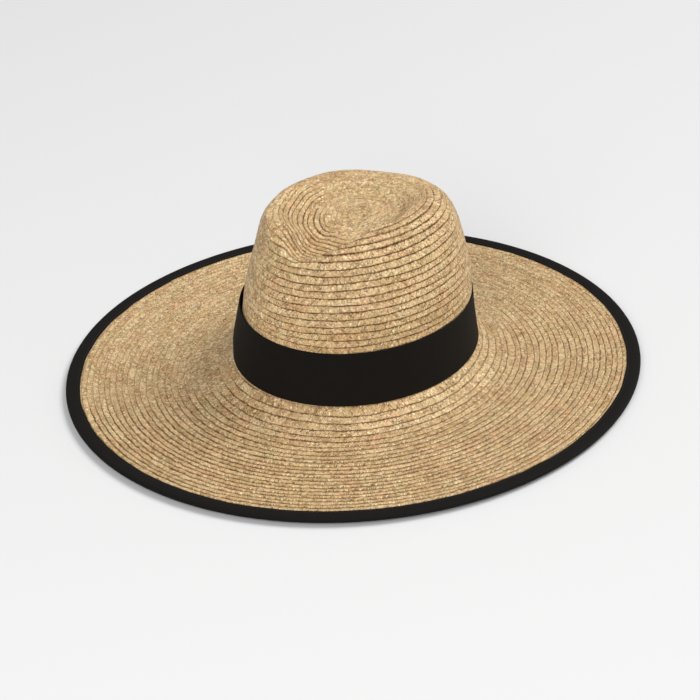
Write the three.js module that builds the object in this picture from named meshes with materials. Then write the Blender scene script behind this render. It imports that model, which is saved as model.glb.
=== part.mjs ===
// Wide-brim straw hat: a creased crown and a broad brim of sewn straw braid,
// a ribbon band round the crown and a ribbon binding over the brim's edge.
//
// Millimetres, +Z up. -Y is the front, +X the wearer's left. The hat is shaped about its head line
// (the oval where crown meets brim), then laid down as it rests: on the low ring of its brim.
import * as THREE from 'three';

// Head line: half axes of the straw oval at the foot of the crown wall.
const HEAD_HALF_WIDTH = 90.0;
const HEAD_HALF_LENGTH = 104.4;
// The head line sits this far towards the back of the brim's outline, made up over this width of brim.
const HEAD_SETBACK = 2.25;
const SETBACK_REACH = 45;

// Straw braid is sewn with overlapping rows, so the wall is about two straws thick.
const STRAW_THICKNESS = 2.0;
const GAP = 0.3;

// Ribbon: the band round the crown, and the binding folded over the brim's edge.
const RIBBON_THICKNESS = 0.9;
const BAND_HEIGHT = 44;
const BINDING_THICKNESS = 0.8;
const BINDING_WIDTH = 10.6;

// Brim: measured outward from the head line.
const BRIM_WIDTH = 132.6;
const BRIM_DROP = 19.7;
const BRIM_FLARE = 20;
const BRIM_FLARE_POWER = 1.1;
const BRIM_RISE = 4.9;
// The crown leans over to the wearer's left by this angle when the brim lies flat.
const TILT_DEG = 2.3;
const TILT_REACH = 60;

// Crown: height of the eye, the centre of the braid's spiral, above the head line.
const EYE_HEIGHT = 118;
// The crown shifts this far to the wearer's left on its way up to this height.
const LEAN_X = 2.0;
const LEAN_TOP = 75;
const LEAN_REACH = 45;
// How full the roll from wall to crest is: lengths of its two curve handles.
const WALL_HANDLE = 0.6;
const CREST_HANDLE = 0.62;
// The crest beside the pinch is pressed to a crisp fold: bearings where it begins and ends, the
// turns it takes to fade in and out, how far its outside has fallen at the curve's handle, and how
// hollow its inside is.
const FOLD_FROM = -78;
const FOLD_FADE_IN = 14;
const FOLD_TO = 40;
const FOLD_FADE_OUT = 30;
const FOLD_FALL = 3;
const FOLD_POWER = 1.7;

// How far the wall has drawn in from the head line, by height.
const WALL_INSETS = [
  { height: 0, inset: 0 },
  { height: 44, inset: 6.8 },
  { height: 60, inset: 8.4 },
  { height: 75, inset: 11.5 },
  { height: 90, inset: 15.2 },
  { height: 110, inset: 20.5 },
  { height: 130, inset: 26.7 },
];

// The dented top, by bearing in degrees from +X towards +Y, seen from the eye.
//   reach      eye to the crest of the crown, in plan
//   crest      height of the crest
//   wallTop    height where the wall starts to roll over to the crest
//   slope      plan width of the slope inside the crest
//   foot       height at the foot of that slope
// The pinch at the front lies at -80, the nose of the crown at about -110.
const CROWN_SECTIONS = [
  { bearing: -156, reach: 54, crest: 129.0, wallTop: 88, slope: 24, foot: 119.0 },
  { bearing: -140, reach: 61, crest: 126.5, wallTop: 92, slope: 25, foot: 118.0 },
  { bearing: -124, reach: 68, crest: 125.0, wallTop: 94, slope: 27, foot: 116.5 },
  { bearing: -110, reach: 69, crest: 125.5, wallTop: 92, slope: 29, foot: 114.5 },
  { bearing: -98, reach: 70, crest: 123.5, wallTop: 92, slope: 29, foot: 112.5 },
  { bearing: -88, reach: 77, crest: 117.0, wallTop: 95, slope: 26, foot: 110.0 },
  { bearing: -80, reach: 83, crest: 110.0, wallTop: 98, slope: 21, foot: 108.0 },
  { bearing: -71, reach: 77, crest: 114.0, wallTop: 96, slope: 17, foot: 107.5 },
  { bearing: -55, reach: 70, crest: 123.0, wallTop: 92, slope: 15, foot: 109.0 },
  { bearing: -45, reach: 61, crest: 126.5, wallTop: 88, slope: 14, foot: 111.0 },
  { bearing: -35, reach: 52, crest: 128.5, wallTop: 84, slope: 14, foot: 113.0 },
  { bearing: -12, reach: 43, crest: 128.5, wallTop: 82, slope: 14, foot: 115.5 },
  { bearing: 15, reach: 41, crest: 128.5, wallTop: 82, slope: 15, foot: 117.0 },
  { bearing: 45, reach: 47, crest: 128.5, wallTop: 84, slope: 19, foot: 118.0 },
  { bearing: 70, reach: 55, crest: 127.0, wallTop: 85, slope: 28, foot: 119.0 },
  { bearing: 90, reach: 58, crest: 124.5, wallTop: 84, slope: 34, foot: 119.0 },
  { bearing: 115, reach: 54, crest: 124.5, wallTop: 84, slope: 30, foot: 119.0 },
  { bearing: 145, reach: 50, crest: 127.5, wallTop: 84, slope: 24, foot: 119.0 },
  { bearing: 175, reach: 49, crest: 129.0, wallTop: 86, slope: 24, foot: 119.0 },
];

// Facets: columns round the hat, and spans along each stretch of a crown section.
const COLUMNS = 72;
const FLOOR_SPANS = 4;
const SLOPE_SPANS = 4;
const ROLL_SPANS = 6;
const UPPER_WALL_SPANS = 3;
const BAND_SPANS = 2;
// Brim rings, as distances outward from the head line.
const BRIM_TOP_RINGS = [-STRAW_THICKNESS, 0, 2, 6, 12, 22, 40, 65, 100, BRIM_WIDTH];
const BRIM_UNDER_RINGS = [BRIM_WIDTH, 96, 58, 26, 9, 2, -STRAW_THICKNESS];

const FULL_TURN = 360;

function smoothStep(t) {
  const c = Math.min(Math.max(t, 0), 1);
  return c * c * (3 - 2 * c);
}

// Slope at a table entry that never overshoots its neighbours.
function easySlope(before, after) {
  return before * after > 0 ? (2 * before * after) / (before + after) : 0;
}

// Value between y1 and y2 on a smooth curve through four table entries.
function smoothBetween([x0, x1, x2, x3], [y0, y1, y2, y3], x) {
  const span = x2 - x1;
  const u = (x - x1) / span;
  const middle = (y2 - y1) / span;
  const m1 = easySlope((y1 - y0) / (x1 - x0), middle);
  const m2 = easySlope(middle, (y3 - y2) / (x3 - x2));
  const u2 = u * u;
  const u3 = u2 * u;
  return (
    (2 * u3 - 3 * u2 + 1) * y1 +
    (u3 - 2 * u2 + u) * span * m1 +
    (3 * u2 - 2 * u3) * y2 +
    (u3 - u2) * span * m2
  );
}

// The crown's named sizes at any bearing, read smoothly round the section table.
function crownSection(bearing) {
  const n = CROWN_SECTIONS.length;
  const first = CROWN_SECTIONS[0].bearing;
  const b = ((((bearing - first) % FULL_TURN) + FULL_TURN) % FULL_TURN) + first;
  let k = n - 1;
  while (CROWN_SECTIONS[k].bearing > b) k -= 1;
  const near = [k - 1, k, k + 1, k + 2].map((i) => {
    const row = CROWN_SECTIONS[(i + n) % n];
    return { ...row, bearing: row.bearing + FULL_TURN * Math.floor(i / n) };
  });
  const at = near.map((row) => row.bearing);
  const read = (name) => smoothBetween(at, near.map((row) => row[name]), b);
  return {
    reach: read('reach'),
    crest: read('crest'),
    wallTop: read('wallTop'),
    slope: read('slope'),
    foot: read('foot'),
  };
}

// How far the wall has drawn in at a height, read smoothly from its table.
function wallInset(height) {
  const last = WALL_INSETS.length - 1;
  let k = last - 1;
  while (k > 0 && WALL_INSETS[k].height > height) k -= 1;
  const row = (i) => {
    if (i < 0) return { height: -WALL_INSETS[1].height, inset: -WALL_INSETS[1].inset };
    if (i <= last) return WALL_INSETS[i];
    const [a, b] = [WALL_INSETS[last - 1], WALL_INSETS[last]];
    return { height: 2 * b.height - a.height, inset: 2 * b.inset - a.inset };
  };
  const near = [k - 1, k, k + 1, k + 2].map(row);
  return smoothBetween(near.map((r) => r.height), near.map((r) => r.inset), height);
}

// Distance from the centre to an oval, drawn in from the head line by inset, along a bearing.
function ovalReach(bearing, inset) {
  const angle = THREE.MathUtils.degToRad(bearing);
  const across = Math.cos(angle) / (HEAD_HALF_WIDTH - inset);
  const along = Math.sin(angle) / (HEAD_HALF_LENGTH - inset);
  return 1 / Math.hypot(across, along);
}

// A point at a plan distance and height along a bearing, with the crown's set-back and lean added.
function crownPoint(bearing, reach, height) {
  const angle = THREE.MathUtils.degToRad(bearing);
  const spread = smoothStep(reach / LEAN_REACH);
  return new THREE.Vector3(
    reach * Math.cos(angle) + LEAN_X * spread * smoothStep(height / LEAN_TOP),
    reach * Math.sin(angle) + HEAD_SETBACK * spread,
    height,
  );
}

function wallPoint(bearing, height, standoff = 0) {
  return crownPoint(bearing, ovalReach(bearing, wallInset(height) - standoff), height);
}

// How crisp the crest's fold is at a bearing, 0 to 1.
function foldAt(bearing) {
  const b = ((bearing + FULL_TURN / 2) % FULL_TURN) - FULL_TURN / 2;
  return smoothStep((b - FOLD_FROM) / FOLD_FADE_IN) * smoothStep((FOLD_TO - b) / FOLD_FADE_OUT);
}

// Outside of the crown along one bearing, from just beside the eye down to the head line.
function crownMeridian(bearing) {
  const { reach, crest, wallTop, slope, foot } = crownSection(bearing);
  const fold = foldAt(bearing);
  const points = [];
  const footReach = reach - slope;
  for (let i = 1; i <= FLOOR_SPANS; i += 1) {
    const t = i / FLOOR_SPANS;
    points.push(crownPoint(bearing, footReach * t, THREE.MathUtils.lerp(EYE_HEIGHT, foot, smoothStep(t))));
  }
  for (let i = 1; i <= SLOPE_SPANS; i += 1) {
    const t = i / SLOPE_SPANS;
    const climb = THREE.MathUtils.lerp(smoothStep(t), t ** FOLD_POWER, fold);
    points.push(crownPoint(bearing, footReach + slope * t, THREE.MathUtils.lerp(foot, crest, climb)));
  }
  const wallReach = ovalReach(bearing, wallInset(wallTop));
  const wallLean = wallReach - ovalReach(bearing, wallInset(wallTop + 1));
  const rise = crest - wallTop;
  const roll = new THREE.CubicBezierCurve(
    new THREE.Vector2(reach, crest),
    new THREE.Vector2(THREE.MathUtils.lerp(reach, wallReach, CREST_HANDLE), crest - FOLD_FALL * fold),
    new THREE.Vector2(wallReach - wallLean * rise * WALL_HANDLE, wallTop + rise * WALL_HANDLE),
    new THREE.Vector2(wallReach, wallTop),
  );
  for (let i = 1; i <= ROLL_SPANS; i += 1) {
    const p = roll.getPoint(i / ROLL_SPANS);
    points.push(crownPoint(bearing, p.x, p.y));
  }
  for (let i = 1; i <= UPPER_WALL_SPANS; i += 1) {
    points.push(wallPoint(bearing, THREE.MathUtils.lerp(wallTop, BAND_HEIGHT, i / UPPER_WALL_SPANS)));
  }
  for (let i = 1; i <= BAND_SPANS; i += 1) {
    points.push(wallPoint(bearing, BAND_HEIGHT * (1 - i / BAND_SPANS)));
  }
  return points;
}

// Height of the brim's upper face, w outward from the head line, at plan position x.
function brimHeight(w, x) {
  const out = Math.max(w, 0);
  const fall = BRIM_DROP * (1 - Math.exp(-((out / BRIM_FLARE) ** BRIM_FLARE_POWER)));
  const lift = BRIM_RISE * (out / BRIM_WIDTH) ** 2;
  const tilt = Math.tan(THREE.MathUtils.degToRad(TILT_DEG)) * x * smoothStep(out / TILT_REACH);
  return lift - GAP - fall + tilt;
}

// A point w outward from the head line, standing off the brim's upper face along its normal.
function brimPoint(bearing, w, standoff) {
  const angle = THREE.MathUtils.degToRad(bearing);
  const foot = ovalReach(bearing, 0);
  const base = new THREE.Vector2(foot * Math.cos(angle), foot * Math.sin(angle));
  const outward = new THREE.Vector2(base.x / HEAD_HALF_WIDTH ** 2, base.y / HEAD_HALF_LENGTH ** 2).normalize();
  const planAt = (d) => base.clone().addScaledVector(outward, d);
  const step = 0.05;
  const plan = planAt(w);
  const inner = brimHeight(w - step, planAt(w - step).x);
  const outer = brimHeight(w + step, planAt(w + step).x);
  const normal = new THREE.Vector2(inner - outer, 2 * step).normalize();
  plan.addScaledVector(outward, standoff * normal.x);
  plan.y += HEAD_SETBACK * (1 - smoothStep(w / SETBACK_REACH));
  return new THREE.Vector3(plan.x, plan.y, brimHeight(w, planAt(w).x) + standoff * normal.y);
}

const bearings = Array.from({ length: COLUMNS }, (_, i) => (i * FULL_TURN) / COLUMNS);

// One closed body from rings of points, each ring running once round the hat. With poles, the rings
// run from a first pole to a last one; without, the last ring joins back to the first.
function bodyFromRings(rings, poles) {
  const positions = [];
  const index = [];
  rings.forEach((ring) => ring.forEach((p) => positions.push(p.x, p.y, p.z)));
  const at = (r, c) => (r % rings.length) * COLUMNS + (c % COLUMNS);
  const joins = poles ? rings.length - 1 : rings.length;
  for (let r = 0; r < joins; r += 1) {
    for (let c = 0; c < COLUMNS; c += 1) {
      index.push(at(r, c), at(r + 1, c), at(r + 1, c + 1));
      index.push(at(r, c), at(r + 1, c + 1), at(r, c + 1));
    }
  }
  if (poles) {
    const first = rings.length * COLUMNS;
    poles.forEach((p) => positions.push(p.x, p.y, p.z));
    for (let c = 0; c < COLUMNS; c += 1) {
      index.push(first, at(0, c), at(0, c + 1));
      index.push(first + 1, at(joins, c + 1), at(joins, c));
    }
  }
  const geometry = new THREE.BufferGeometry();
  geometry.setAttribute('position', new THREE.Float32BufferAttribute(positions, 3));
  geometry.setIndex(index);
  geometry.computeVertexNormals();
  return geometry;
}

function ringsFromSections(sections) {
  return sections[0].map((_, r) => sections.map((section) => section[r]));
}

// Crown: the outside, then the inside one straw wall in from it, meeting at the head line.
function crownGeometry() {
  const outside = ringsFromSections(bearings.map(crownMeridian));
  const inwardAt = (r, c) => {
    const before = outside[Math.max(r - 1, 0)][c];
    const after = outside[Math.min(r + 1, outside.length - 1)][c];
    const left = outside[r][(c + 1) % COLUMNS];
    const right = outside[r][(c + COLUMNS - 1) % COLUMNS];
    const along = new THREE.Vector3().subVectors(after, before);
    const round = new THREE.Vector3().subVectors(left, right);
    return round.cross(along).normalize();
  };
  const bottom = outside.length - 1;
  const inside = outside.map((ring, r) =>
    ring.map((p, c) => {
      const inward = inwardAt(r, c);
      if (r === bottom) inward.setZ(0).normalize();
      return p.clone().addScaledVector(inward, STRAW_THICKNESS);
    }),
  );
  const eye = new THREE.Vector3(0, 0, EYE_HEIGHT);
  const underEye = new THREE.Vector3(0, 0, EYE_HEIGHT - STRAW_THICKNESS);
  return bodyFromRings([...outside, ...inside.reverse()], [eye, underEye]);
}

// Brim: out along the upper face, round the edge and back along the under face.
function brimGeometry() {
  const section = (bearing) => [
    ...BRIM_TOP_RINGS.map((w) => brimPoint(bearing, w, 0)),
    ...BRIM_UNDER_RINGS.map((w) => brimPoint(bearing, w, -STRAW_THICKNESS)),
  ];
  return bodyFromRings(ringsFromSections(bearings.map(section)));
}

// Band: a loop of ribbon lying on the foot of the crown wall.
function bandGeometry() {
  const heights = Array.from({ length: BAND_SPANS + 1 }, (_, i) => BAND_HEIGHT * (1 - i / BAND_SPANS));
  const section = (bearing) => [
    ...heights.map((h) => wallPoint(bearing, h, GAP + RIBBON_THICKNESS)),
    ...[...heights].reverse().map((h) => wallPoint(bearing, h, GAP)),
  ];
  return bodyFromRings(ringsFromSections(bearings.map(section)));
}

// Binding: ribbon folded over the brim's edge, its folded edge a little rounded.
function bindingGeometry() {
  const inner = BRIM_WIDTH - BINDING_WIDTH + GAP + BINDING_THICKNESS;
  const seat = BRIM_WIDTH + GAP;
  const fold = seat + BINDING_THICKNESS;
  const corner = BINDING_THICKNESS * 0.7;
  const topSeat = GAP;
  const topFace = GAP + BINDING_THICKNESS;
  const underSeat = -STRAW_THICKNESS - GAP;
  const underFace = underSeat - BINDING_THICKNESS;
  const profile = [
    [inner, topFace],
    [fold - corner, topFace],
    [fold, topFace - corner],
    [fold, underFace + corner],
    [fold - corner, underFace],
    [inner, underFace],
    [inner, underSeat],
    [seat, underSeat],
    [seat, topSeat],
    [inner, topSeat],
  ];
  const section = (bearing) => profile.map(([w, standoff]) => brimPoint(bearing, w, standoff));
  return bodyFromRings(ringsFromSections(bearings.map(section)));
}

const straw = { color: 0xb99160, roughness: 0.62, metalness: 0 };
const ribbon = { color: 0x1e1a17, roughness: 0.8, metalness: 0 };

function piece(name, geometry, finish) {
  const mesh = new THREE.Mesh(geometry, new THREE.MeshStandardMaterial(finish));
  mesh.name = name;
  return mesh;
}

const hat = new THREE.Group();
hat.add(piece('crown', crownGeometry(), straw));
hat.add(piece('brim', brimGeometry(), straw));
hat.add(piece('hat_band', bandGeometry(), ribbon));
hat.add(piece('brim_binding', bindingGeometry(), ribbon));

// Lay the hat down: level the brim, then stand its box on the origin.
hat.rotation.y = THREE.MathUtils.degToRad(TILT_DEG);
hat.updateMatrixWorld(true);
const box = new THREE.Box3().setFromObject(hat, true);
const middle = box.getCenter(new THREE.Vector3());
hat.position.set(-middle.x, -middle.y, -box.min.z);

export default hat;
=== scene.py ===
import math

import bpy
import numpy as np
from mathutils import Matrix


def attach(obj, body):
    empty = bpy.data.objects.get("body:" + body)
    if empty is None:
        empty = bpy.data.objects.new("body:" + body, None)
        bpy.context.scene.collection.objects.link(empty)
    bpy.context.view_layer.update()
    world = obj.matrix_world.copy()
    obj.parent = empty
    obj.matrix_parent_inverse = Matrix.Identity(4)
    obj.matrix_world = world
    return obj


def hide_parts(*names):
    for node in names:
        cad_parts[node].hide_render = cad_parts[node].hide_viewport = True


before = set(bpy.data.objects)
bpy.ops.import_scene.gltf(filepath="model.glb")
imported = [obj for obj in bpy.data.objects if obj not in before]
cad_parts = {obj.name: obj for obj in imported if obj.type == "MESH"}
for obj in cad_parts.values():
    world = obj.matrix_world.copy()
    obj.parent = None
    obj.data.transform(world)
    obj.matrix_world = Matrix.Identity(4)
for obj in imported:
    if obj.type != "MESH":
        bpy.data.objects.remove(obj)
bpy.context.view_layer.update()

# Crown
# One long strip of plaited wheat straw, sewn edge over edge in a spiral from the eye at the top
# down to the head line, then damped and pressed on a block into its creased and pinched top.

# Lengths are millimetres in the upright hat, measured from the middle of its head line: -Y is the
# front and +X the wearer's left. lay_down() leans it over as it rests and gives metres.
head_half_width = 90.0
head_half_length = 104.4
head_setback = 2.25
rest_lean = math.radians(2.3)
head_line_place = np.array([0.6030, 0.0, 20.2846])
straw_thickness = 2.0
ribbon_height = 44.0
eye_height = 118.0
# how far the crown stands over to one side, and the height and reach by which it does
lean_aside, lean_top, lean_reach = 2.0, 75.0, 45.0
# how full the roll from the wall to the crest is, at the wall and at the crest
wall_handle, crest_handle = 0.6, 0.62
# the crisp fold beside the pinch: bearings, the degrees it fades over, its fall and its hollowness
fold_from, fold_fade_in, fold_to, fold_fade_out = -78, 14, 40, 30
fold_fall, fold_power = 3.0, 1.7
# how far the wall stands in from the head line at each height
wall_insets = [(0, 0), (44, 6.8), (60, 8.4), (75, 11.5), (90, 15.2), (110, 20.5), (130, 26.7)]
# bearing, reach of the crest, its height, top of the wall, width of the inner slope, its foot
crown_sections = [
    (-156, 54, 129.0, 88, 24, 119.0), (-140, 61, 126.5, 92, 25, 118.0),
    (-124, 68, 125.0, 94, 27, 116.5), (-110, 69, 125.5, 92, 29, 114.5),
    (-98, 70, 123.5, 92, 29, 112.5), (-88, 77, 117.0, 95, 26, 110.0),
    (-80, 83, 110.0, 98, 21, 108.0), (-71, 77, 114.0, 96, 17, 107.5),
    (-55, 70, 123.0, 92, 15, 109.0), (-45, 61, 126.5, 88, 14, 111.0),
    (-35, 52, 128.5, 84, 14, 113.0), (-12, 43, 128.5, 82, 14, 115.5),
    (15, 41, 128.5, 82, 15, 117.0), (45, 47, 128.5, 84, 19, 118.0),
    (70, 55, 127.0, 85, 28, 119.0), (90, 58, 124.5, 84, 34, 119.0),
    (115, 54, 124.5, 84, 30, 119.0), (145, 50, 127.5, 84, 24, 119.0),
    (175, 49, 129.0, 86, 24, 119.0),
]


def lay_down(points):
    """Where points of the upright hat are as it rests, in metres."""
    x, y, z = points[..., 0], points[..., 1], points[..., 2]
    c, s = math.cos(rest_lean), math.sin(rest_lean)
    return (np.stack([c * x + s * z, y, c * z - s * x], axis=-1) + head_line_place) * 0.001


def ease(t):
    """A smooth rise from 0 to 1 while t goes from 0 to 1."""
    t = np.clip(t, 0.0, 1.0)
    return t * t * (3 - 2 * t)


def bearings(columns):
    """The angles of a number of columns, evenly round the hat."""
    return 2 * np.pi * np.arange(columns) / columns


def turned_from(degrees, bearing):
    """Degrees round from a bearing, -180 to 180."""
    return (degrees - bearing + 180) % 360 - 180


def swell(degrees, bearing, spread):
    """1 at a bearing, and less and less away from it."""
    return np.exp(-(turned_from(degrees, bearing) / spread)**2)


def read_table(xs, ys, x, turn=None):
    """A smooth curve through table entries, which never overshoots them; turn closes it round."""
    xs, ys = np.array(xs, float), np.array(ys, float)
    if turn:
        x = (x - xs[0]) % turn + xs[0]
        xs = np.concatenate([xs[-1:] - turn, xs, xs[:2] + turn])
        ys = np.concatenate([ys[-1:], ys, ys[:2]])
    else:
        xs = np.concatenate([[2 * xs[0] - xs[1]], xs, [2 * xs[-1] - xs[-2]]])
        ys = np.concatenate([[2 * ys[0] - ys[1]], ys, [2 * ys[-1] - ys[-2]]])
    slope = np.diff(ys) / np.diff(xs)
    both = slope[:-1] * slope[1:]
    total = np.where(both > 0, slope[:-1] + slope[1:], 1.0)
    m = np.concatenate([[0.0], np.where(both > 0, 2 * both / total, 0.0), [0.0]])
    i = np.clip(np.searchsorted(xs, x, side="right") - 1, 1, len(xs) - 3)
    span = xs[i + 1] - xs[i]
    u = (x - xs[i]) / span
    return ((2 * u**3 - 3 * u**2 + 1) * ys[i] + (u**3 - 2 * u**2 + u) * span * m[i]
            + (3 * u**2 - 2 * u**3) * ys[i + 1] + (u**3 - u**2) * span * m[i + 1])


def wall_inset(height):
    return read_table(*zip(*wall_insets), height)


def oval_reach(angle, inset):
    """How far out the head line's oval lies at a bearing, drawn in by an inset."""
    half_width, half_length = head_half_width - inset, head_half_length - inset
    return 1 / np.hypot(np.cos(angle) / half_width, np.sin(angle) / half_length)


def crown_point(angle, reach, height):
    """A place on the crown, by its bearing, its distance from the middle and its height."""
    spread = ease(reach / lean_reach)
    return np.stack(np.broadcast_arrays(
        reach * np.cos(angle) + lean_aside * spread * ease(height / lean_top),
        reach * np.sin(angle) + head_setback * spread, height), axis=-1)


def wall_point(angle, height, standoff=0.0):
    """A place on the crown's wall, standing off its outside."""
    return crown_point(angle, oval_reach(angle, wall_inset(height) - standoff), height)


def crown_meridians(angles, fineness=260):
    """Outside of the crown at each bearing, as points from the eye down to the head line. Also
    gives which of them is the crest and which the ribbon's top edge."""
    a = angles[:, None]
    columns = list(zip(*crown_sections))
    reach, crest, wall_top, slope, foot = (
        read_table(columns[0], columns[i], np.degrees(angles), turn=360)[:, None]
        for i in range(1, 6))
    turned = turned_from(np.degrees(a), 0)
    fold = ease((turned - fold_from) / fold_fade_in) * ease((fold_to - turned) / fold_fade_out)
    t = np.linspace(0, 1, fineness)[None]
    foot_reach = reach - slope
    slope_rise = ease(t) + fold * (t**fold_power - ease(t))
    wall_reach = oval_reach(a, wall_inset(wall_top))
    draw_in = (wall_reach - oval_reach(a, wall_inset(wall_top + 1))) * (crest - wall_top)
    handle_reach = reach + (wall_reach - reach) * crest_handle
    wall_side = wall_reach - draw_in * wall_handle
    wall_rise = wall_top + (crest - wall_top) * wall_handle

    def roll(*places):
        """The curve over from the crest to the wall, by its two ends and two handles."""
        shares = (1 - t)**3, 3 * t * (1 - t)**2, 3 * t**2 * (1 - t), t**3
        return sum(place * share for place, share in zip(places, shares))

    parts = [
        crown_point(a, foot_reach * t, eye_height + (foot - eye_height) * ease(t)),
        crown_point(a, foot_reach + slope * t, foot + (crest - foot) * slope_rise)[:, 1:],
        crown_point(a, roll(reach, handle_reach, wall_side, wall_reach),
                    roll(crest, crest - fold_fall * fold, wall_rise, wall_top))[:, 1:],
        wall_point(a, wall_top + (ribbon_height - wall_top) * t)[:, 1:],
        wall_point(a, ribbon_height * (1 - t))[:, 1:],
    ]
    return np.concatenate(parts, axis=1), 2 * fineness - 2, 4 * fineness - 4


# the braid: the width of a row, the length of a plait, and the rows from the ribbon up to the eye
braid_pitch = 5.75
plait_length = 3.4
rows_on_crown = 31.0
# where the mesh has points across a row, of which the first two make its free edge
free_edge = 0.04
braid_stations = (0.0, free_edge, 0.2, 0.48, 0.76)
# how far a sewn edge strays, in rows: slowly, quickly, from row to row, and out at each plait
slow_stray, quick_stray, row_stray, plait_scallop = 0.10, 0.06, 0.05, 0.09
# rows that the pinch draws down, its bearing and spread, and the lengths over which it sets in
# from the ribbon and fades out to the eye
pinch_pull, pull_bearing, pull_spread = 0.6, -90, 30
pull_from_ribbon, pull_to_eye = 25, 60
# how much closer the rows lie in the fan behind the pinch, its bearing and spread
pinch_gather, gather_bearing, gather_spread = 0.1, -80, 50


def crown_by_rows(angles, step=0.05, lowest=-7.0):
    """The crown's outside read by row of braid: 0 at the ribbon's top edge and rows_on_crown at
    the eye."""
    points, crest, ribbon_top = crown_meridians(angles)
    lengths = np.linalg.norm(np.diff(points, axis=1), axis=2)
    arcs = np.concatenate([np.zeros((len(angles), 1)), np.cumsum(lengths, axis=1)], axis=1)
    up = arcs[:, ribbon_top:ribbon_top + 1] - arcs
    eye, crest_up = up[:, :1], up[:, crest:crest + 1]
    degrees = np.degrees(angles)[:, None]
    gather = pinch_gather * swell(degrees, gather_bearing, gather_spread)
    pull = pinch_pull * swell(degrees, pull_bearing, pull_spread)
    inward = np.clip((up - crest_up) / (eye - crest_up), 0, 1)
    inner_rows = (rows_on_crown - crest_up / braid_pitch) * inward * (1 + gather * (1 - inward))
    rows = np.minimum(up, crest_up) / braid_pitch + inner_rows
    rows = rows + pull * ease(up / pull_from_ribbon) * ease((eye - up) / pull_to_eye)
    wanted = np.arange(lowest, rows_on_crown + step / 2, step)
    table = np.empty((len(angles), len(wanted), 3))
    for c in range(len(angles)):
        for axis in range(3):
            table[c, :, axis] = np.interp(wanted, rows[c, ::-1], points[c, ::-1, axis])

    def at(row, column):
        place = np.clip((row - lowest) / step, 0, len(wanted) - 1.001)
        i = place.astype(int)
        f = (place - i)[..., None]
        return table[column, i] * (1 - f) + table[column, i + 1] * f

    return at


def braid_spiral(at, columns, low, high):
    """Rings of points that climb one row of braid a turn, as the sewn strip does. Gives the row of
    each point, its place across the strip, the strip's number and the length of strip up to it."""
    rows = np.arange(math.floor(low) - 2, math.ceil(high) + 2)
    turn = np.arange(columns + 1) / columns
    column = np.arange(columns + 1) % columns
    middle = at(np.clip(rows[:, None] + 0.5 + turn[None], low, high), column[None])
    lengths = np.linalg.norm(np.diff(middle, axis=1), axis=2)
    along = np.concatenate([[0.0], np.cumsum(lengths)])
    along = np.stack([along[i * columns:(i + 1) * columns + 1] for i in range(len(rows))])
    edge = (slow_stray * np.sin(along / 43 + 0.7) * np.sin(along / 19 + 2.1)
            + quick_stray * np.sin(along / 7.7) * np.sin(along / 5.3)
            + row_stray * np.sin(2.4 * (rows[:, None] + turn[None]))
            + plait_scallop * np.abs(np.sin(np.pi * along / plait_length)))
    next_edge = np.concatenate([edge[1:], edge[-1:]])
    t = np.array(braid_stations)[None, :, None]
    row = (rows[:, None, None] + t + turn[None, None]
           + edge[:, None] * (1 - t) + next_edge[:, None] * t)
    shape = (len(rows) * len(braid_stations), columns + 1)
    across, strip, length = (np.broadcast_to(fact, row.shape).reshape(shape)
                             for fact in (t, rows[:, None, None], along[:, None]))
    return row.reshape(shape), across, strip, length


# The top as seen along the fan's bearing: near is forward on it and aside is to its left. Here are
# the middles and half sizes, near and aside, of the pressed oval in the dimple and of the fan.
fan_bearing = math.radians(-42.0)
dimple_middle, dimple_half, dimple_fade = (-4, 12), (38, 34), 0.45
fan_middle, fan_half = (24, -46), (34, 30)
# where the top, the fold, the far crest and the flat side begin, each with its fade
top_height, top_fade = 100, 12
fold_height, fold_height_fade, fold_near, fold_near_fade = 112, 8, 14, 14
crest_far, crest_far_fade, crest_aside, crest_aside_fade = 22, 25, 50, 30
flat_side_from, flat_side_fade, flat_side_out, flat_side_out_fade = 0.62, 0.3, 40, 30
# how flat the iron presses the rows, the share of it on the far crest and on the flat side, and
# how much more the rows stand up in the fan
pressed_flat, far_crest_share, flat_side_share, fan_lift = 0.8, 0.85, 0.9, 0.6


def row_lift(points, flat_bearing):
    """How far the free edges of the rows stand up, about 1: more along the fold and in the fan
    beside it, less in the dimple and at flat_bearing, where the iron has pressed them."""
    x, y, z = points[..., 0], points[..., 1], points[..., 2]
    near = math.cos(fan_bearing) * x + math.sin(fan_bearing) * y
    aside = math.cos(fan_bearing) * y - math.sin(fan_bearing) * x

    def out_of_oval(middle, half):
        return np.hypot((near - middle[0]) / half[0], (aside - middle[1]) / half[1])

    on_top = ease((z - top_height) / top_fade)
    in_dimple = ease(3.0 - out_of_oval(dimple_middle, dimple_half) / dimple_fade)
    on_far_crest = (ease((-near - crest_far) / crest_far_fade)
                    * ease((crest_aside - aside) / crest_aside_fade))
    in_fan = on_top * ease(1.6 - out_of_oval(fan_middle, fan_half))
    on_fold = ease((z - fold_height) / fold_height_fade) * ease((near - fold_near) / fold_near_fade)
    out = np.hypot(x, y)
    facing = (math.cos(flat_bearing) * x + math.sin(flat_bearing) * y) / np.maximum(out, 1.0)
    on_flat_side = (ease((facing - flat_side_from) / flat_side_fade)
                    * ease((out - flat_side_out) / flat_side_out_fade))
    pressed = np.maximum(on_top * np.maximum(in_dimple, far_crest_share * on_far_crest),
                         flat_side_share * on_flat_side)
    return 1 - pressed_flat * pressed + fan_lift * np.maximum(in_fan, on_fold) * (1 - pressed)


def put_in_scene(name, data):
    thing = bpy.data.objects.new(name, data)
    bpy.context.scene.collection.objects.link(thing)
    return thing


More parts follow.
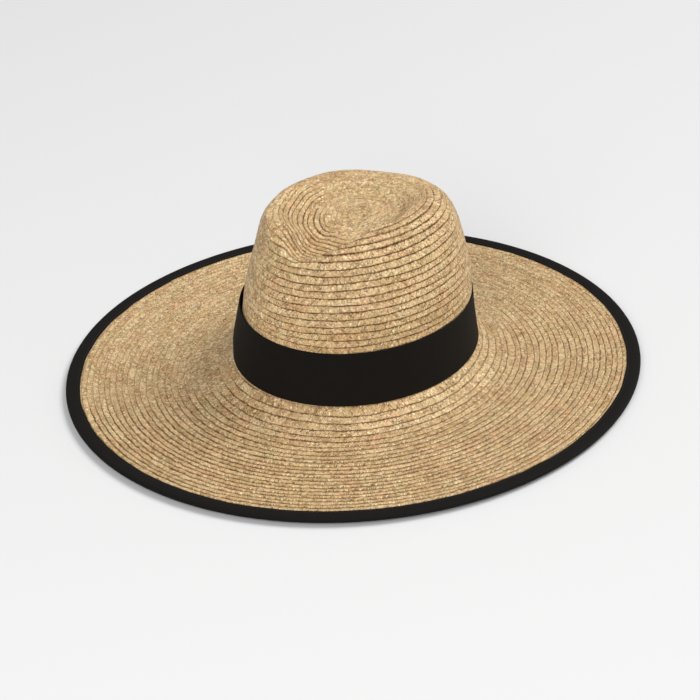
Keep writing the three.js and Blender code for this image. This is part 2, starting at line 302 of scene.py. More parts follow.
class Body:
    """Points, faces and their place on the strip, gathered into one closed mesh."""

    def __init__(self):
        self.points, self.facts, self.corners, self.places = [], [], [], []
        self.count = 0

    def add_points(self, points, along=0.0, across=0.5, relief=0.0):
        """Adds points with three facts of the braid at each, and gives their numbers."""
        points = points.reshape(-1, 3)
        facts = np.stack(np.broadcast_arrays(along, across, relief), axis=-1).astype(float)
        self.points.append(points)
        self.facts.append(np.broadcast_to(facts.reshape(-1, 3), (len(points), 3)))
        self.count += len(points)
        return np.arange(self.count - len(points), self.count)

    def add_ring(self, points, columns):
        """The point numbers of a closed ring, or of one point taken as a ring."""
        ids = self.add_points(points)
        return np.append(ids, ids[0]) if len(ids) > 1 else np.full(columns + 1, ids[0])

    def add_quads(self, ids, places):
        """Quads between neighbouring rings of a grid of point numbers. places has the place on the
        strip of each quad's lower and upper corners."""
        quads = [ids[:-1, :-1], ids[:-1, 1:], ids[1:, 1:], ids[1:, :-1]]
        self.corners.append(np.stack(quads, axis=-1).reshape(-1, 4))
        spots = [places[:, :-1, 0], places[:, 1:, 0], places[:, 1:, 1], places[:, :-1, 1]]
        self.places.append(np.stack(spots, axis=2).reshape(-1, 4, 2))

    def join_rings(self, rings, points, rows):
        """Quads between two rings. points are those of one of them, for the length round it, and
        rows are the two rings' places across the braid."""
        length = running_length(np.concatenate([points, points[:1]]))
        places = [np.stack([length, np.full(len(length), row)], axis=-1) for row in rows]
        self.add_quads(np.stack(rings), np.stack(places, axis=1)[None])

    def finish(self, name, place_name, material):
        """Makes the piece, with the places as its map and the facts as its attributes."""
        points = lay_down(np.concatenate(self.points))
        facts = np.concatenate(self.facts)
        corners, places = np.concatenate(self.corners), np.concatenate(self.places)
        # a quad with one corner twice becomes a triangle, and one with fewer corners is left out
        again = corners == np.roll(corners, -1, axis=1)
        whole, cut = again.sum(axis=1) == 0, again.sum(axis=1) == 1
        loops = np.concatenate([corners[whole].ravel(), corners[cut][~again[cut]]])
        spots = np.concatenate([places[whole].reshape(-1, 2), places[cut][~again[cut]]])
        totals = np.concatenate([np.full(whole.sum(), 4), np.full(cut.sum(), 3)])
        used, loops = np.unique(loops, return_inverse=True)
        points, facts = points[used], facts[used]
        mesh = bpy.data.meshes.new(name)
        mesh.vertices.add(len(points))
        mesh.vertices.foreach_set("co", points.astype(np.float32).ravel())
        mesh.loops.add(len(loops))
        mesh.loops.foreach_set("vertex_index", loops.astype(np.int32).ravel())
        mesh.polygons.add(len(totals))
        starts = np.concatenate([[0], np.cumsum(totals)[:-1]])
        mesh.polygons.foreach_set("loop_start", starts.astype(np.int32))
        mesh.polygons.foreach_set("loop_total", totals.astype(np.int32))
        mesh.polygons.foreach_set("use_smooth", np.ones(len(totals), bool))
        layer = mesh.uv_layers.new(name=place_name)
        layer.uv.foreach_set("vector", spots.astype(np.float32).ravel())
        for i, fact in enumerate(("along", "across", "relief")):
            values = mesh.attributes.new(fact, "FLOAT", "POINT").data
            values.foreach_set("value", facts[:, i].astype(np.float32))
        mesh.update()
        mesh.validate()
        mesh.materials.append(material)
        return put_in_scene(name, mesh)


def running_length(points):
    """The length along a line up to each of its points."""
    return np.concatenate([[0.0], np.cumsum(np.linalg.norm(np.diff(points, axis=0), axis=1))])


def sew_spiral(body, at, columns, low, high, high_points, relief):
    """Adds the braided face of a body, cut off at a low and a high row. high_points is the ring or
    the point that it ends in there, and relief tells how far the braid stands out at each point.
    Gives the point numbers round both ends."""
    row, across, strip, length = braid_spiral(at, columns, low, high)
    column = np.arange(columns + 1) % columns
    points = at(np.clip(row, low, high), column[None])
    facts = length, across, relief(row, column, points)
    ids = body.add_points(points[:, :-1], *(fact[:, :-1].ravel() for fact in facts))
    ids = ids.reshape(len(row), columns)
    # a turn ends in the points where the next row's turn starts
    per_row = len(braid_stations)
    ids = np.concatenate([ids, np.concatenate([ids[per_row:, :1], ids[-per_row:, :1]])], axis=1)
    # points past an end, or so near it in rows that they would leave a sliver, go to its ring
    low_ring = body.add_ring(at(low, np.arange(columns)), columns)
    high_ring = body.add_ring(high_points, columns)
    sliver = 0.03
    ids = np.where(row <= low + sliver, low_ring[None],
                   np.where(row >= high - sliver, high_ring[None], ids))
    # each quad keeps to one row's places, a little inside its edges
    top = np.where(across[1:] > across[:-1], across[1:], 1.0)
    places = np.stack([np.stack([length[:-1], strip[:-1] + 0.01 + 0.98 * share], axis=-1)
                       for share in (across[:-1], top)], axis=2)
    body.add_quads(ids[:len(row) - per_row], places[:len(row) - per_row - 1])
    return low_ring, high_ring


class Strand:
    """A value in a node tree. Arithmetic on it adds the tree's Math nodes."""

    def __init__(self, weave, socket):
        self.weave, self.socket = weave, socket

    def calc(self, operation, *values):
        return self.weave.node("ShaderNodeMath", {"operation": operation}, dict(enumerate(values)))

    def __add__(self, other):
        return self.calc("ADD", self, other)

    def __radd__(self, other):
        return self.calc("ADD", other, self)

    def __sub__(self, other):
        return self.calc("SUBTRACT", self, other)

    def __rsub__(self, other):
        return self.calc("SUBTRACT", other, self)

    def __mul__(self, other):
        return self.calc("MULTIPLY", self, other)

    def __rmul__(self, other):
        return self.calc("MULTIPLY", other, self)

    def __truediv__(self, other):
        return self.calc("DIVIDE", self, other)

    def floor(self):
        return self.calc("FLOOR", self)

    def fract(self):
        return self.calc("FRACT", self)

    def sine(self):
        return self.calc("SINE", self)

    def size(self):
        return self.calc("ABSOLUTE", self)

    def power(self, exponent):
        return self.calc("POWER", self, exponent)

    def least(self, other):
        return self.calc("MINIMUM", self, other)

    def most(self, other):
        return self.calc("MAXIMUM", self, other)

    def ramp(self, start, end):
        """0 at start, 1 at end and smooth between them. Start may be the higher of the two."""
        return self.weave.node("ShaderNodeMapRange", {"interpolation_type": "SMOOTHSTEP"},
                               {0: self, 1: start, 2: end, 3: 0.0, 4: 1.0})

    def side(self, output):
        """Another output of the node that this value comes from."""
        return Strand(self.weave, self.socket.node.outputs[output])


class Weave:
    """A node tree that is being made, for a material or for a shape."""

    def __init__(self, tree):
        self.tree = tree
        tree.nodes.clear()

    def node(self, kind, settings=None, sockets=None, output=0):
        made = self.tree.nodes.new(kind)
        for name, value in (settings or {}).items():
            setattr(made, name, value)
        for key, value in (sockets or {}).items():
            if isinstance(value, Strand):
                self.tree.links.new(value.socket, made.inputs[key])
            else:
                made.inputs[key].default_value = value
        return Strand(self, made.outputs[output]) if made.outputs else made

    def mix(self, share, one, other):
        return self.node("ShaderNodeMix", {"data_type": "RGBA", "clamp_result": False},
                         {0: share, 6: one, 7: other}, output=2)

    def scaled(self, colour, amount):
        return self.node("ShaderNodeVectorMath", {"operation": "SCALE"}, {0: colour, 3: amount})

    def vector(self, x, y, z):
        return self.node("ShaderNodeCombineXYZ", None, {0: x, 1: y, 2: z})

    def chance(self, x, y, z):
        """A random value, 0 to 1, for each whole x, y and z."""
        return self.node("ShaderNodeTexWhiteNoise", {"noise_dimensions": "3D"},
                         {"Vector": self.vector(x, y, z)})

    def clouds(self, spot, detail, roughness=0.5, scale=1.0, dimensions="3D"):
        return self.node("ShaderNodeTexNoise", {"noise_dimensions": dimensions}, {
            "Vector": spot, "Scale": scale, "Detail": detail, "Roughness": roughness})

    def bump(self, height, strength, distance):
        return self.node("ShaderNodeBump", None, {
            "Strength": strength, "Distance": distance, "Height": height})

    def finish(self, sockets):
        """Ends a material in one surface, by the values of its sockets."""
        surface = self.node("ShaderNodeBsdfPrincipled", None, sockets)
        self.node("ShaderNodeOutputMaterial", None, {"Surface": surface})


def new_material(name):
    material = bpy.data.materials.new(name)
    material.use_nodes = True
    return material, Weave(material.node_tree)


def paint(red, green, blue):
    """A colour as seen on a screen, 0 to 255, as the shader's linear colour."""
    seen = [v / 255 for v in (red, green, blue)]
    linear = [v / 12.92 if v <= 0.04045 else ((v + 0.055) / 1.055)**2.4 for v in seen]
    return (*linear, 1.0)


dull_gold, bright_gold = paint(189, 155, 107), paint(208, 178, 131)
pinkish, greenish, pale_straw_and_glint = paint(206, 150, 112), paint(190, 172, 120), paint(250, 232, 194)
dark_fibre, crevice_shade, under_row_shadow = paint(102, 66, 28), paint(126, 90, 50), paint(86, 50, 9)
# how steeply the splints cross, in plaits across a row, and how close their fibres lie, along them
# and across them
splint_slant, fibres_along, fibres_across = 1.5, 1.1, 4.4


def straw_finish(name, shade_tone):
    """Split wheat straw: golden splints that cross on the slant, some pale and less rough, some
    pink or green. The pale flecks are partly pale straw and partly painted glints; painted shade
    darkens the creases between splints, and a painted shadow line lies where a row goes under the
    one before it. Its last argument darkens the whole lot, as painted shade."""
    material, look = new_material(name)
    place = look.node("ShaderNodeUVMap", {"uv_map": "braid"})
    along = look.node("ShaderNodeSeparateXYZ", None, {0: place})
    row, across = along.side(1).floor(), along.side(1).fract()
    relief = look.node("ShaderNodeAttribute", {"attribute_name": "relief"}, output=2)

    # the two sets of splints: where a spot is on each, which set is on top there, 0 or 1, and two
    # random values for each crossing
    one = along / plait_length + across * splint_slant
    other = along / plait_length - across * splint_slant
    one_cell, other_cell = one.floor(), other.floor()
    turn = ((one_cell + other_cell) * 0.5).fract() * 2.0 * (fibres_across - fibres_along)
    chance = look.chance(one_cell, other_cell, row)
    second_chance = look.chance(other_cell, one_cell, row + 7.0)
    dome = ((one.fract() * math.pi).sine() * (other.fract() * math.pi).sine()).power(0.5)
    drawn_out = look.vector(one * (fibres_along + turn), other * (fibres_across - turn), row * 3.3)
    fibre = look.clouds(drawn_out, detail=1.5, roughness=0.6)

    # lengths of duller and brighter straw, pink and green in places, each splint lighter or darker
    lot = look.clouds(look.vector(along / 34.0, row * 4.7, 2.0), detail=2.0, roughness=0.55)
    colour = look.mix(lot.ramp(0.34, 0.66), dull_gold, bright_gold)
    spot = look.node("ShaderNodeTexCoord", output=3)
    hue = look.clouds(spot, detail=2.0, roughness=0.6, scale=55.0)
    colour = look.mix(hue.ramp(0.52, 0.66) * 0.28, colour, pinkish)
    colour = look.mix(hue.ramp(0.47, 0.34) * 0.22, colour, greenish)
    light = 0.42 + relief.least(1.0) * 0.06 + chance * 0.42 + fibre.ramp(0.34, 0.66) * 0.46
    # the last argument scales the whole colour down as painted shade
    colour = look.scaled(colour, light * shade_tone)
    # pale cream flecks: partly pale straw, partly painted glints, where the roughness is also lower
    pale = fibre.ramp(0.53, 0.66) * second_chance.ramp(0.2, 0.7)
    colour = look.mix(pale * 0.85, colour, pale_straw_and_glint)
    dark = fibre.ramp(0.47, 0.36) * chance.ramp(0.85, 0.3)
    colour = look.mix(dark * 0.75, colour, dark_fibre)
    # painted shade in the creases between the splints, where their domes fall away
    colour = look.mix(dome.ramp(0.4, 0.0) * 0.35, colour, crevice_shade)

    # a painted shadow line under the edge of the row before, which widens and darkens with the
    # relief, between plaits and in places
    notch = 1.0 - (along * (math.pi / plait_length) + chance * 0.5).sine().size()
    gap = look.clouds(look.vector(along / 6.0, row * 5.3, 0.0), detail=2.0, dimensions="2D")
    gap = gap.ramp(0.3, 0.65)
    line = across.ramp(0.92 - relief * (0.09 + notch * 0.06 + gap * 0.07),
                       1.0 - relief * (0.05 + notch * 0.04 + gap * 0.04))
    line = line.most(across.ramp(free_edge, 0.0)) * (0.62 + gap * 0.38)
    depth = relief.most(relief.ramp(0.2, 0.0)).least(1.0)
    colour = look.mix(line * depth * 0.97, colour, under_row_shadow)

    height = (dome * 0.5 + fibre * 0.22 + second_chance * 0.3
              + (1.0 - relief) * (1.0 - across) * 1.6)
    look.finish({"Base Color": colour, "Roughness": 0.56 - pale * 0.2 + fibre * 0.1,
                 "Normal": look.bump(height, strength=0.9, distance=0.0005), "IOR": 1.36})
    return material


def new_shape(name, inputs):
    """A node tree for a shape, with named inputs after the geometry. Gives the tree, the weave in
    it and its inputs."""
    tree = bpy.data.node_groups.new(name, "GeometryNodeTree")
    for label, kind in [("Geometry", "NodeSocketGeometry"), *inputs]:
        tree.interface.new_socket(label, in_out="INPUT", socket_type=kind)
    tree.interface.new_socket("Geometry", in_out="OUTPUT", socket_type="NodeSocketGeometry")
    shape = Weave(tree)
    return tree, shape, shape.node("NodeGroupInput")


def end_shape(shape, made, finish):
    """Ends a shape's tree in plain mesh with its finish on it."""
    plain = shape.node("GeometryNodeRealizeInstances", None, {"Geometry": made})
    dressed = shape.node("GeometryNodeSetMaterial", None, {"Geometry": plain, "Material": finish})
    shape.node("NodeGroupOutput", None, {"Geometry": dressed})


def run_shape(piece, tree, values):
    """Runs a shape's node tree on a piece and keeps the result as its plain mesh."""
    modifier = piece.modifiers.new(tree.name, "NODES")
    modifier.node_group = tree
    for item in tree.interface.items_tree:
        if item.in_out == "INPUT" and item.name in values:
            modifier[item.identifier] = values[item.name]
    evaluated = piece.evaluated_get(bpy.context.evaluated_depsgraph_get())
    mesh = bpy.data.meshes.new_from_object(evaluated)
    piece.modifiers.remove(modifier)
    piece.data = mesh


def raised_braid(piece, edge_step, splint_dome, material):
    """Lifts each row's free edge over its neighbour by edge_step and domes the splints by
    splint_dome, both in metres, by their place on the strip."""
    tree, shape, given = new_shape("raised_braid", [
        ("Edge step", "NodeSocketFloat"), ("Splint dome", "NodeSocketFloat"),
        ("Plait length", "NodeSocketFloat"), ("Finish", "NodeSocketMaterial")])
    along, across, relief = (
        shape.node("GeometryNodeInputNamedAttribute", {"data_type": "FLOAT"}, {"Name": name})
        for name in ("along", "across", "relief"))
    shingle = (across / free_edge).least(1.0) * (1.0 - across).power(0.85) - 0.5
    turns = along / given.side(3)
    dome = ((turns + across) * math.pi).sine() * ((turns - across) * math.pi).sine()
    dome = dome.size().power(0.5)
    lift = (shingle * given.side(1) + (dome - 0.5) * given.side(2)) * relief
    offset = shape.scaled(shape.node("GeometryNodeInputNormal"), lift)
    moved = shape.node("GeometryNodeSetPosition", None, {"Geometry": given, "Offset": offset})
    end_shape(shape, moved, given.side(4))
    run_shape(piece, tree, {"Edge step": edge_step, "Splint dome": splint_dome,
                            "Plait length": plait_length, "Finish": material})


straw = straw_finish("straw_braid", shade_tone=1.0)

crown_columns = 460
crown_angles = bearings(crown_columns)
crown_at = crown_by_rows(crown_angles)
flat_side_bearing = math.radians(228.0)
# the spiral's lowest row, and the rows over which the relief sets in there and fades at the eye
crown_low, relief_from, relief_fade, eye_fade = -0.5, -0.45, 0.3, 0.8


def crown_relief(row, column, points):
    """The rows lie flat where the spiral ends, behind the ribbon and at the eye."""
    whole = ease((row - relief_from) / relief_fade) * ease((rows_on_crown - row) / eye_fade)
    return whole * row_lift(points, flat_side_bearing)


def inside_at_row(row, probe=0.15):
    """The crown's inner face on one row, in from the outer one by the straw's thickness."""
    column = np.arange(crown_columns)
    ring = crown_at(row, column)
    up = crown_at(row + probe, column) - crown_at(row - probe, column)
    normal = np.cross(np.roll(ring, -1, axis=0) - np.roll(ring, 1, axis=0), up)
    return ring - straw_thickness * (normal / np.linalg.norm(normal, axis=1, keepdims=True))


crown_body = Body()
eye = np.array([[0.0, 0.0, eye_height]])
low_ring, _ = sew_spiral(crown_body, crown_at, crown_columns, crown_low, rows_on_crown, eye,
                         crown_relief)
# the foot of the wall, hidden behind the ribbon, then the inside up to the eye, with the rows of
# braid that each ring lies on and comes from
foot = [(wall_point(crown_angles, height), -2.0 * k - 2.99, -2.0 * k - 2.01)
        for k, height in enumerate((36.0, 24.0, 12.0, 0.0))]
inner_foot = [(wall_point(crown_angles, height, -straw_thickness), k + 40.99, k + 40.01)
              for k, height in enumerate((0.0, 6.0, 12.0, 18.0, 24.0, 30.0, 36.0))]
inside = [(inside_at_row(float(k)), k + 50.99, k + 50.01) for k in range(int(rows_on_crown))]
ring = low_ring
for wall, *rows in foot + inner_foot + inside:
    inner = crown_body.add_ring(wall, crown_columns)
    crown_body.join_rings((inner, ring), wall, rows)
    ring = inner
under_eye = np.array([[0.0, 0.0, eye_height - straw_thickness]])
crown_body.join_rings((crown_body.add_ring(under_eye, crown_columns), ring), wall, (80.99, 80.01))

crown = crown_body.finish("crown_braid", "braid", straw)
raised_braid(crown, edge_step=0.001, splint_dome=0.0003, material=straw)
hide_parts("crown")
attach(crown, "root")

# Brim
# The same spiral of straw braid goes on outward from the head line, a little wider each turn, and
# is pressed to a short flare round the head and a broad, faintly rising sweep to the edge.

brim_width = 132.6
seat_gap = 0.3
brim_columns = 560
# the flare: how far the brim falls from the head line, over what width and how sharply
brim_drop, brim_flare, brim_flare_power = 19.7, 20.0, 1.1
brim_rise = 4.9
# the widths over which the head line's setback and lean go out of the brim
setback_reach, tilt_reach = 45.0, 60.0
# how much closer the rows lie at the edge than at the head line
brim_crowding = 0.158
# the side that the iron has pressed and the one where the rows stand up, and the rows over which
# they stand up more and more, out to the edge
brim_flat_bearing, brim_raised_bearing = math.radians(214), math.radians(-65)
raised_rows = 14
# the rows' relief: at the back, what the front adds and what the edge adds, there at least a share
back_lift, front_lift, edge_lift, least_edge_share = 0.75, 0.25, 1.25, 0.35
# rows without relief: those in the binding and the very first at the head line, with their fades
bound_rows, bound_fade, head_rows, head_fade = 1.6, 0.3, 0.05, 0.2


def brim_height(w, x):
    """Height of the brim's upper face, w outward from the head line and x across the hat."""
    out = np.maximum(w, 0.0)
    fall = brim_drop * (1 - np.exp(-((out / brim_flare)**brim_flare_power)))
    return (brim_rise * (out / brim_width)**2 - seat_gap - fall
            + math.tan(rest_lean) * x * ease(out / tilt_reach))


def brim_point(angle, w, standoff=0.0):
    """A point w outward from the head line, standing off the brim's upper face."""
    foot = oval_reach(angle, 0.0)
    base_x, base_y = foot * np.cos(angle), foot * np.sin(angle)
    out_x, out_y = base_x / head_half_width**2, base_y / head_half_length**2
    size = np.hypot(out_x, out_y)
    out_x, out_y = out_x / size, out_y / size
    step = 0.05
    fall = (brim_height(w - step, base_x + out_x * (w - step))
            - brim_height(w + step, base_x + out_x * (w + step)))
    size = np.hypot(fall, 2 * step)
    plan = w + standoff * fall / size
    height = brim_height(w, base_x + out_x * w) + standoff * 2 * step / size
    setback = head_setback * (1 - ease(w / setback_reach))
    return np.stack(np.broadcast_arrays(
        base_x + out_x * plan, base_y + out_y * plan + setback, height), axis=-1)


brim_angles = bearings(brim_columns)
brim_low = -brim_width / braid_pitch * (1 + brim_crowding)
brim_high = straw_thickness / braid_pitch


def brim_at(row, column):
    """The brim's upper face read by row: 0 at the head line and counted down to the edge."""
    crowding = 2 * brim_crowding / brim_width
    w = (np.sqrt(1 - 2 * crowding * row * braid_pitch) - 1) / crowding
    return brim_point(brim_angles[column], w)


def brim_relief(row, column, points):
    """The rows stand up more at the front than at the back, and most of all towards the edge."""
    front = np.maximum(np.cos(brim_angles[column] - brim_raised_bearing), 0.0)
    outer = ease(-row / raised_rows) * (least_edge_share + (1 - least_edge_share) * front)
    whole = ease((row - brim_low - bound_rows) / bound_fade) * ease((-head_rows - row) / head_fade)
    lift = back_lift + front_lift * front + edge_lift * outer
    return lift * whole * row_lift(points, brim_flat_bearing)


brim_body = Body()
edge_ring, head_ring = sew_spiral(brim_body, brim_at, brim_columns, brim_low, brim_high,
                                  brim_at(brim_high, np.arange(brim_columns)), brim_relief)
# the under face, from the head line back out to the edge
under_rows = range(1, math.ceil(brim_width / braid_pitch) + 1)
under_widths = [-straw_thickness] + [min(k * braid_pitch, brim_width) for k in under_rows]
ring = head_ring
for k, w in enumerate(under_widths):
    under = brim_point(brim_angles, w, -straw_thickness)
    below = brim_body.add_ring(under, brim_columns)
    brim_body.join_rings((ring, below), under, (k + 60.01, k + 60.99))
    ring = below
brim_body.join_rings((ring, edge_ring), under, (90.01, 90.99))

# painted shade: the brim's copy of the straw is 3% darker than the crown's
shaded_brim_straw = straw_finish("shaded_brim_straw_braid", shade_tone=0.97)
brim = brim_body.finish("brim_braid", "braid", shaded_brim_straw)
raised_braid(brim, edge_step=0.0006, splint_dome=0.00015, material=shaded_brim_straw)
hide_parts("brim")
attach(brim, "root")

# Ribbon band
# A black grosgrain ribbon laid round the foot of the crown, its ends lapped at the back and tacked
# by hand. Its two woven edges are a little thicker than its ribbed face.

band_columns = 480
# height and distance from the crown, up the outer face and back down the inner one
band_profile = [
    (0.25, 0.3), (0.0, 0.55), (0.0, 0.95), (0.2, 1.22), (0.8, 1.3), (1.6, 1.2), (5.0, 1.16),
    (10.0, 1.14), (16.0, 1.12), (22.0, 1.12), (28.0, 1.12), (34.0, 1.14), (39.0, 1.16),
    (42.4, 1.2), (43.2, 1.3), (43.8, 1.22), (44.0, 0.95), (44.0, 0.55), (43.75, 0.3),
    (32.0, 0.3), (20.0, 0.3), (10.0, 0.3),
]
# what stands off further than this is the outer face
outer_face = 0.8
# at the wearer's right the ribbon stands off the crown, most of all at half height, and its top
# edge sits higher: how far, round which bearing and over what spread
bow_out, bow_bearing, bow_spread = 3.2, -150, 44
bow_heights, bow_shares = (0, 14, 36, 44), (0, 1, 1, 0.8)
edge_rise, rise_bearing, rise_spread = 3.0, -160, 45
# the join: the free end's bearing, the degrees it laps over the start and steps up in, its rise
lap_bearing, lap_turn, lap_ramp, lap_rise = 97.0, 13.0, 1.1, 0.75
# the stitches across the free end: how far in they are, their pitch and size in metres
tack_turn, tack_margin, tack_standoff = 2.6, 3.0, 1.14 + lap_rise
tack_pitch, tack_size = 0.0052, (0.0022, 0.0007, 0.0005)
# the ribs across the ribbon and the fine threads along it
rib_pitch, thread_pitch = 0.9, 0.32


def ribbon_finish():
    """Black grosgrain: fine ribs across the ribbon, matt, a little grey where threads stand up."""
    material, look = new_material("black_ribbon")
    place = look.node("ShaderNodeUVMap", {"uv_map": "ribbon"})
    along = look.node("ShaderNodeSeparateXYZ", None, {0: place})
    over = along.side(1)
    ribs = (along * (math.pi / rib_pitch)).sine().size()
    threads = (over * (math.pi / thread_pitch)).sine().size()
    cloud = look.clouds(look.vector(along / 9.0, over / 6.0, 0.0), detail=3.0, dimensions="2D")
    grain = look.clouds(look.vector(along * 2.2, over * 2.8, 0.0), detail=1.0, dimensions="2D")
    colour = look.mix(ribs * 0.6, paint(4, 2, 0), paint(10, 6, 3))
    colour = look.scaled(colour, 0.8 + cloud.ramp(0.3, 0.7) * 0.3 + grain.ramp(0.4, 0.8) * 0.25)
    height = ribs * 0.7 + threads * 0.3 + grain * 0.3
    look.finish({"Base Color": colour, "Roughness": 0.74 + grain * 0.14,
                 "Normal": look.bump(height, strength=0.7, distance=0.00015), "IOR": 1.3})
    return material


def ribbon_loop(name, sections, material):
    """A closed ribbon from its sections round the hat: sections is profile points by columns."""
    body = Body()
    count, columns = sections.shape[:2]
    ids = body.add_points(sections).reshape(count, columns)
    ids = np.concatenate([ids, ids[:, :1]], axis=1)
    ids = np.concatenate([ids, ids[:1]], axis=0)
    closed = np.concatenate([sections, sections[:, :1]], axis=1)
    closed = np.concatenate([closed, closed[:1]], axis=0)
    spot = np.stack(np.meshgrid(running_length(closed[0]), running_length(closed[:, 0])), axis=-1)
    body.add_quads(ids, np.stack([spot[:-1], spot[1:]], axis=2))
    return body.finish(name, "ribbon", material)


def lap(degrees):
    """How far the ribbon's face is lifted by the end lapped over it, 0 to 1."""
    past = turned_from(degrees, lap_bearing)
    return ease(past / lap_ramp) * ease((lap_turn - past) / (0.5 * lap_turn))


ribbon = ribbon_finish()
band_angles = bearings(band_columns)
band_degrees = np.degrees(band_angles)
ripple = (0.12 * np.sin(5 * band_angles + 0.4) * np.sin(13 * band_angles)
          + 0.05 * np.sin(31 * band_angles + 1.0))
bow = bow_out * swell(band_degrees, bow_bearing, bow_spread)
eased = edge_rise * swell(band_degrees, rise_bearing, rise_spread)
band_rings = []
for height, standoff in band_profile:
    up_ribbon = height / ribbon_height
    shift = (0.25 * np.sin(3 * band_angles + 1.1) + eased) * up_ribbon
    proud = ripple * up_ribbon**2 * (standoff > outer_face)
    proud = proud + bow * read_table(bow_heights, bow_shares, height)
    proud = proud + lap_rise * lap(band_degrees) * (standoff > outer_face)
    band_rings.append(wall_point(band_angles, height + shift, standoff + proud))
band = ribbon_loop("ribbon_band", np.stack(band_rings), ribbon)
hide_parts("hat_band")
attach(band, "root")


def sewn_stitches(name, path, faces, every, size, material):
    """Short rounded stitches along a line of points, lying flat on the ribbon: faces holds the way
    that the ribbon faces at each point, every the distance between stitches in metres."""
    mesh = bpy.data.meshes.new(name)
    mesh.from_pydata(path.tolist(), [(i, i + 1) for i in range(len(path) - 1)], [])
    facing = mesh.attributes.new("facing", "FLOAT_VECTOR", "POINT").data
    facing.foreach_set("vector", faces.astype(np.float32).ravel())
    mesh.materials.append(material)
    piece = put_in_scene(name, mesh)
    tree, shape, given = new_shape("sewn_stitches", [
        ("Every", "NodeSocketFloat"), ("Size", "NodeSocketVector"),
        ("Finish", "NodeSocketMaterial")])
    line = shape.node("GeometryNodeMeshToCurve", None, {"Mesh": given})
    spaced = shape.node("GeometryNodeResampleCurve", {"mode": "LENGTH"},
                        {"Curve": line, "Length": given.side(1)})
    tangent = shape.node("GeometryNodeInputTangent")
    facing = shape.node("GeometryNodeInputNamedAttribute", {"data_type": "FLOAT_VECTOR"},
                        {"Name": "facing"})
    lying = shape.node("FunctionNodeAlignRotationToVector", {"axis": "X"}, {"Vector": tangent})
    flat = shape.node("FunctionNodeAlignRotationToVector", {"axis": "Z", "pivot_axis": "X"},
                      {"Rotation": lying, "Vector": facing})
    bead = shape.node("GeometryNodeMeshUVSphere", None, {"Segments": 6, "Rings": 4, "Radius": 0.5})
    sewn = shape.node("GeometryNodeInstanceOnPoints", None, {
        "Points": spaced, "Instance": bead, "Rotation": flat, "Scale": given.side(2)})
    end_shape(shape, sewn, given.side(3))
    run_shape(piece, tree, {"Every": every, "Size": size, "Finish": material})
    return piece


def thread_finish():
    """Black polished sewing thread."""
    material, look = new_material("black_thread")
    look.finish({"Base Color": paint(13, 11, 9), "Roughness": 0.5, "IOR": 1.4})
    return material


def surface_path(points, beside):
    """A line of points on a face, in metres, and the way the face looks there: beside is the same
    line a little further across the face, to the left of the way it runs."""
    line, other = lay_down(points), lay_down(beside)
    facing = np.cross(np.gradient(line, axis=0), other - line)
    return line, facing / np.linalg.norm(facing, axis=1, keepdims=True)


thread = thread_finish()
tack_points = 60
tack_heights = np.linspace(tack_margin, ribbon_height - tack_margin, tack_points)
tack_angles = np.radians(np.full(tack_points, lap_bearing + tack_turn))
line, facing = surface_path(wall_point(tack_angles, tack_heights, tack_standoff),
                            wall_point(tack_angles - 0.01, tack_heights, tack_standoff))
tacks = sewn_stitches("band_tacks", line, facing, tack_pitch, tack_size, thread)
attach(tacks, "root")

# Brim binding
# A narrower grosgrain ribbon folded over the brim's edge and machine-stitched through, close to
# its inner edges. The fold is round, and the ribbon sinks a little along the stitches.

binding_thickness = 0.8
binding_width = 10.6
binding_columns = 640
binding_inner = brim_width - binding_width + seat_gap + binding_thickness
# the fold: where it starts, how far it bulges out, and the middle and half of its height
fold_start, fold_bulge = 9.3, 1.95
fold_middle = -straw_thickness / 2
fold_half = straw_thickness / 2 + seat_gap + binding_thickness
# the stitches: how far in from the ribbon's edge, how deep they pull the ribbon and lie in it,
# their pitch and size in metres, and how far in the edge's wander dies out
stitch_inset, stitch_pull, stitch_depth = 1.8, 0.22, 0.16
seam_pitch, seam_size = 0.0032, (0.0025, 0.0006, 0.00045)
wander_reach = 4


def binding_profile():
    """Width from the ribbon's edge and height over the brim, out on top and back underneath."""
    top = seat_gap + binding_thickness
    under = -straw_thickness - top
    upper = [(0.0, top - 0.5), (0.12, top - 0.12), (0.5, top + 0.02), (1.1, top),
             (stitch_inset, top - stitch_pull), (2.6, top + 0.02), (4.5, top + 0.1),
             (7.0, top + 0.12), (8.6, top + 0.05)]
    fold = [(fold_start + fold_bulge * math.sin(a), fold_middle + fold_half * math.cos(a))
            for a in np.radians((28, 50, 70, 90, 110, 130, 152))]
    lower = [(w, under - (h - top)) for w, h in reversed(upper)]
    inside = [(w, -straw_thickness - seat_gap) for w in (0.3, 5.0, 10.0)]
    inside += [(w, seat_gap) for w in (10.0, 5.0, 0.3)]
    return upper + fold + lower + inside


binding_angles = bearings(binding_columns)
wander = (0.3 * np.sin(7 * binding_angles + 0.6) * np.sin(17 * binding_angles)
          + 0.12 * np.sin(41 * binding_angles))
binding_rings = []
for w, standoff in binding_profile():
    strayed = wander * max(0.0, 1 - w / wander_reach)
    binding_rings.append(brim_point(binding_angles, binding_inner + w + strayed, standoff))
binding = ribbon_loop("edge_binding", np.stack(binding_rings)[::-1], ribbon)
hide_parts("brim_binding")
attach(binding, "root")

seam_angles = np.append(binding_angles, 2 * np.pi)
seam_wander = np.append(wander, wander[0]) * (1 - stitch_inset / wander_reach)
seam_width = binding_inner + stitch_inset + seam_wander
seam_standoff = seat_gap + binding_thickness - stitch_depth
line, facing = surface_path(brim_point(seam_angles, seam_width, seam_standoff),
                            brim_point(seam_angles, seam_width - 1.0, seam_standoff))
seam = sewn_stitches("binding_seam", line, facing, seam_pitch, seam_size, thread)
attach(seam, "root")

# Floor, lights and camera
# A plain pale floor, one large soft light high on the right, a smaller one that fills the front,
# and the camera looking down at the crown's front left side from chest height.

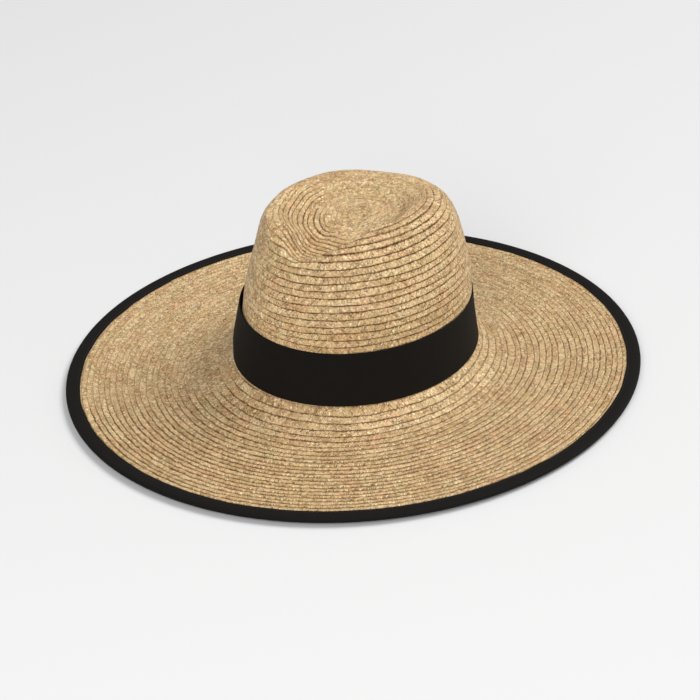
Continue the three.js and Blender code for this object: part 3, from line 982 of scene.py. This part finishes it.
camera_turn = math.radians(48.264)
camera_dip = math.radians(31.731)
camera_distance = 1600.0
camera_target = np.array([7.287, -11.689, 0.0])
focal_in_pixels = 1985.66
picture_width = 700
floor_reach, floor_height = 6.0, -0.0005


def stand_at(thing, axes, place):
    """Sets an object's three axes and its place."""
    matrix = np.eye(4)
    matrix[:3, :3] = np.stack(axes, axis=1)
    matrix[:3, 3] = place
    thing.matrix_world = Matrix(matrix)


right = np.array([math.cos(camera_turn), math.sin(camera_turn), 0.0])
away = np.array([-math.sin(camera_turn), math.cos(camera_turn), 0.0])
back = np.array([math.sin(camera_turn) * math.cos(camera_dip),
                 -math.cos(camera_turn) * math.cos(camera_dip), math.sin(camera_dip)])
up = np.cross(back, right)
lens = bpy.data.cameras.new("camera")
lens.sensor_width = 36.0
lens.lens = focal_in_pixels / picture_width * lens.sensor_width
lens.clip_start, lens.clip_end = 0.05, 20.0
camera = put_in_scene("camera", lens)
stand_at(camera, [lay_down(v * 1000.0) - lay_down(np.zeros(3)) for v in (right, up, back)],
         lay_down(camera_target + back * camera_distance))
bpy.context.scene.camera = camera

floor_mesh = bpy.data.meshes.new("floor")
floor_corners = [(-floor_reach, -floor_reach), (floor_reach, -floor_reach),
                 (floor_reach, floor_reach), (-floor_reach, floor_reach)]
floor_mesh.from_pydata([(x, y, floor_height) for x, y in floor_corners], [], [(0, 1, 2, 3)])
floor_paint, floor_look = new_material("floor")
floor_look.finish({"Base Color": (0.69, 0.69, 0.69, 1.0), "Roughness": 0.9,
                   "Specular IOR Level": 0.1})
floor_mesh.materials.append(floor_paint)
floor = put_in_scene("floor", floor_mesh)


def soft_light(name, distance, toward, size, power):
    """A square soft box, in metres and watts, that faces the hat. toward is the way to it, as
    parts to the camera's right, away from the camera and up."""
    lamp = bpy.data.lights.new(name, "AREA")
    lamp.shape = "SQUARE"
    lamp.size = size
    lamp.energy = power
    place = distance * (toward[0] * right + toward[1] * away + np.array([0.0, 0.0, toward[2]]))
    facing = place / np.linalg.norm(place)
    side = np.cross([0.0, 0.0, 1.0], facing)
    side = side / np.linalg.norm(side)
    stand_at(put_in_scene(name, lamp), [side, np.cross(facing, side), facing], place)


soft_light("window_light", distance=7.0, toward=(0.62, 0.2, 0.86), size=4.1, power=440.0)
soft_light("front_fill", distance=4.2, toward=(-0.2, -0.8, 0.55), size=2.6, power=120.0)
world = bpy.data.worlds.new("studio")
bpy.context.scene.world = world
world.use_nodes = True
sky = Weave(world.node_tree)
light = sky.node("ShaderNodeBackground", None, {"Color": (1.0, 1.0, 1.0, 1.0), "Strength": 0.36})
sky.node("ShaderNodeOutputWorld", None, {"Surface": light})
bpy.context.scene.view_settings.view_transform = "Standard"
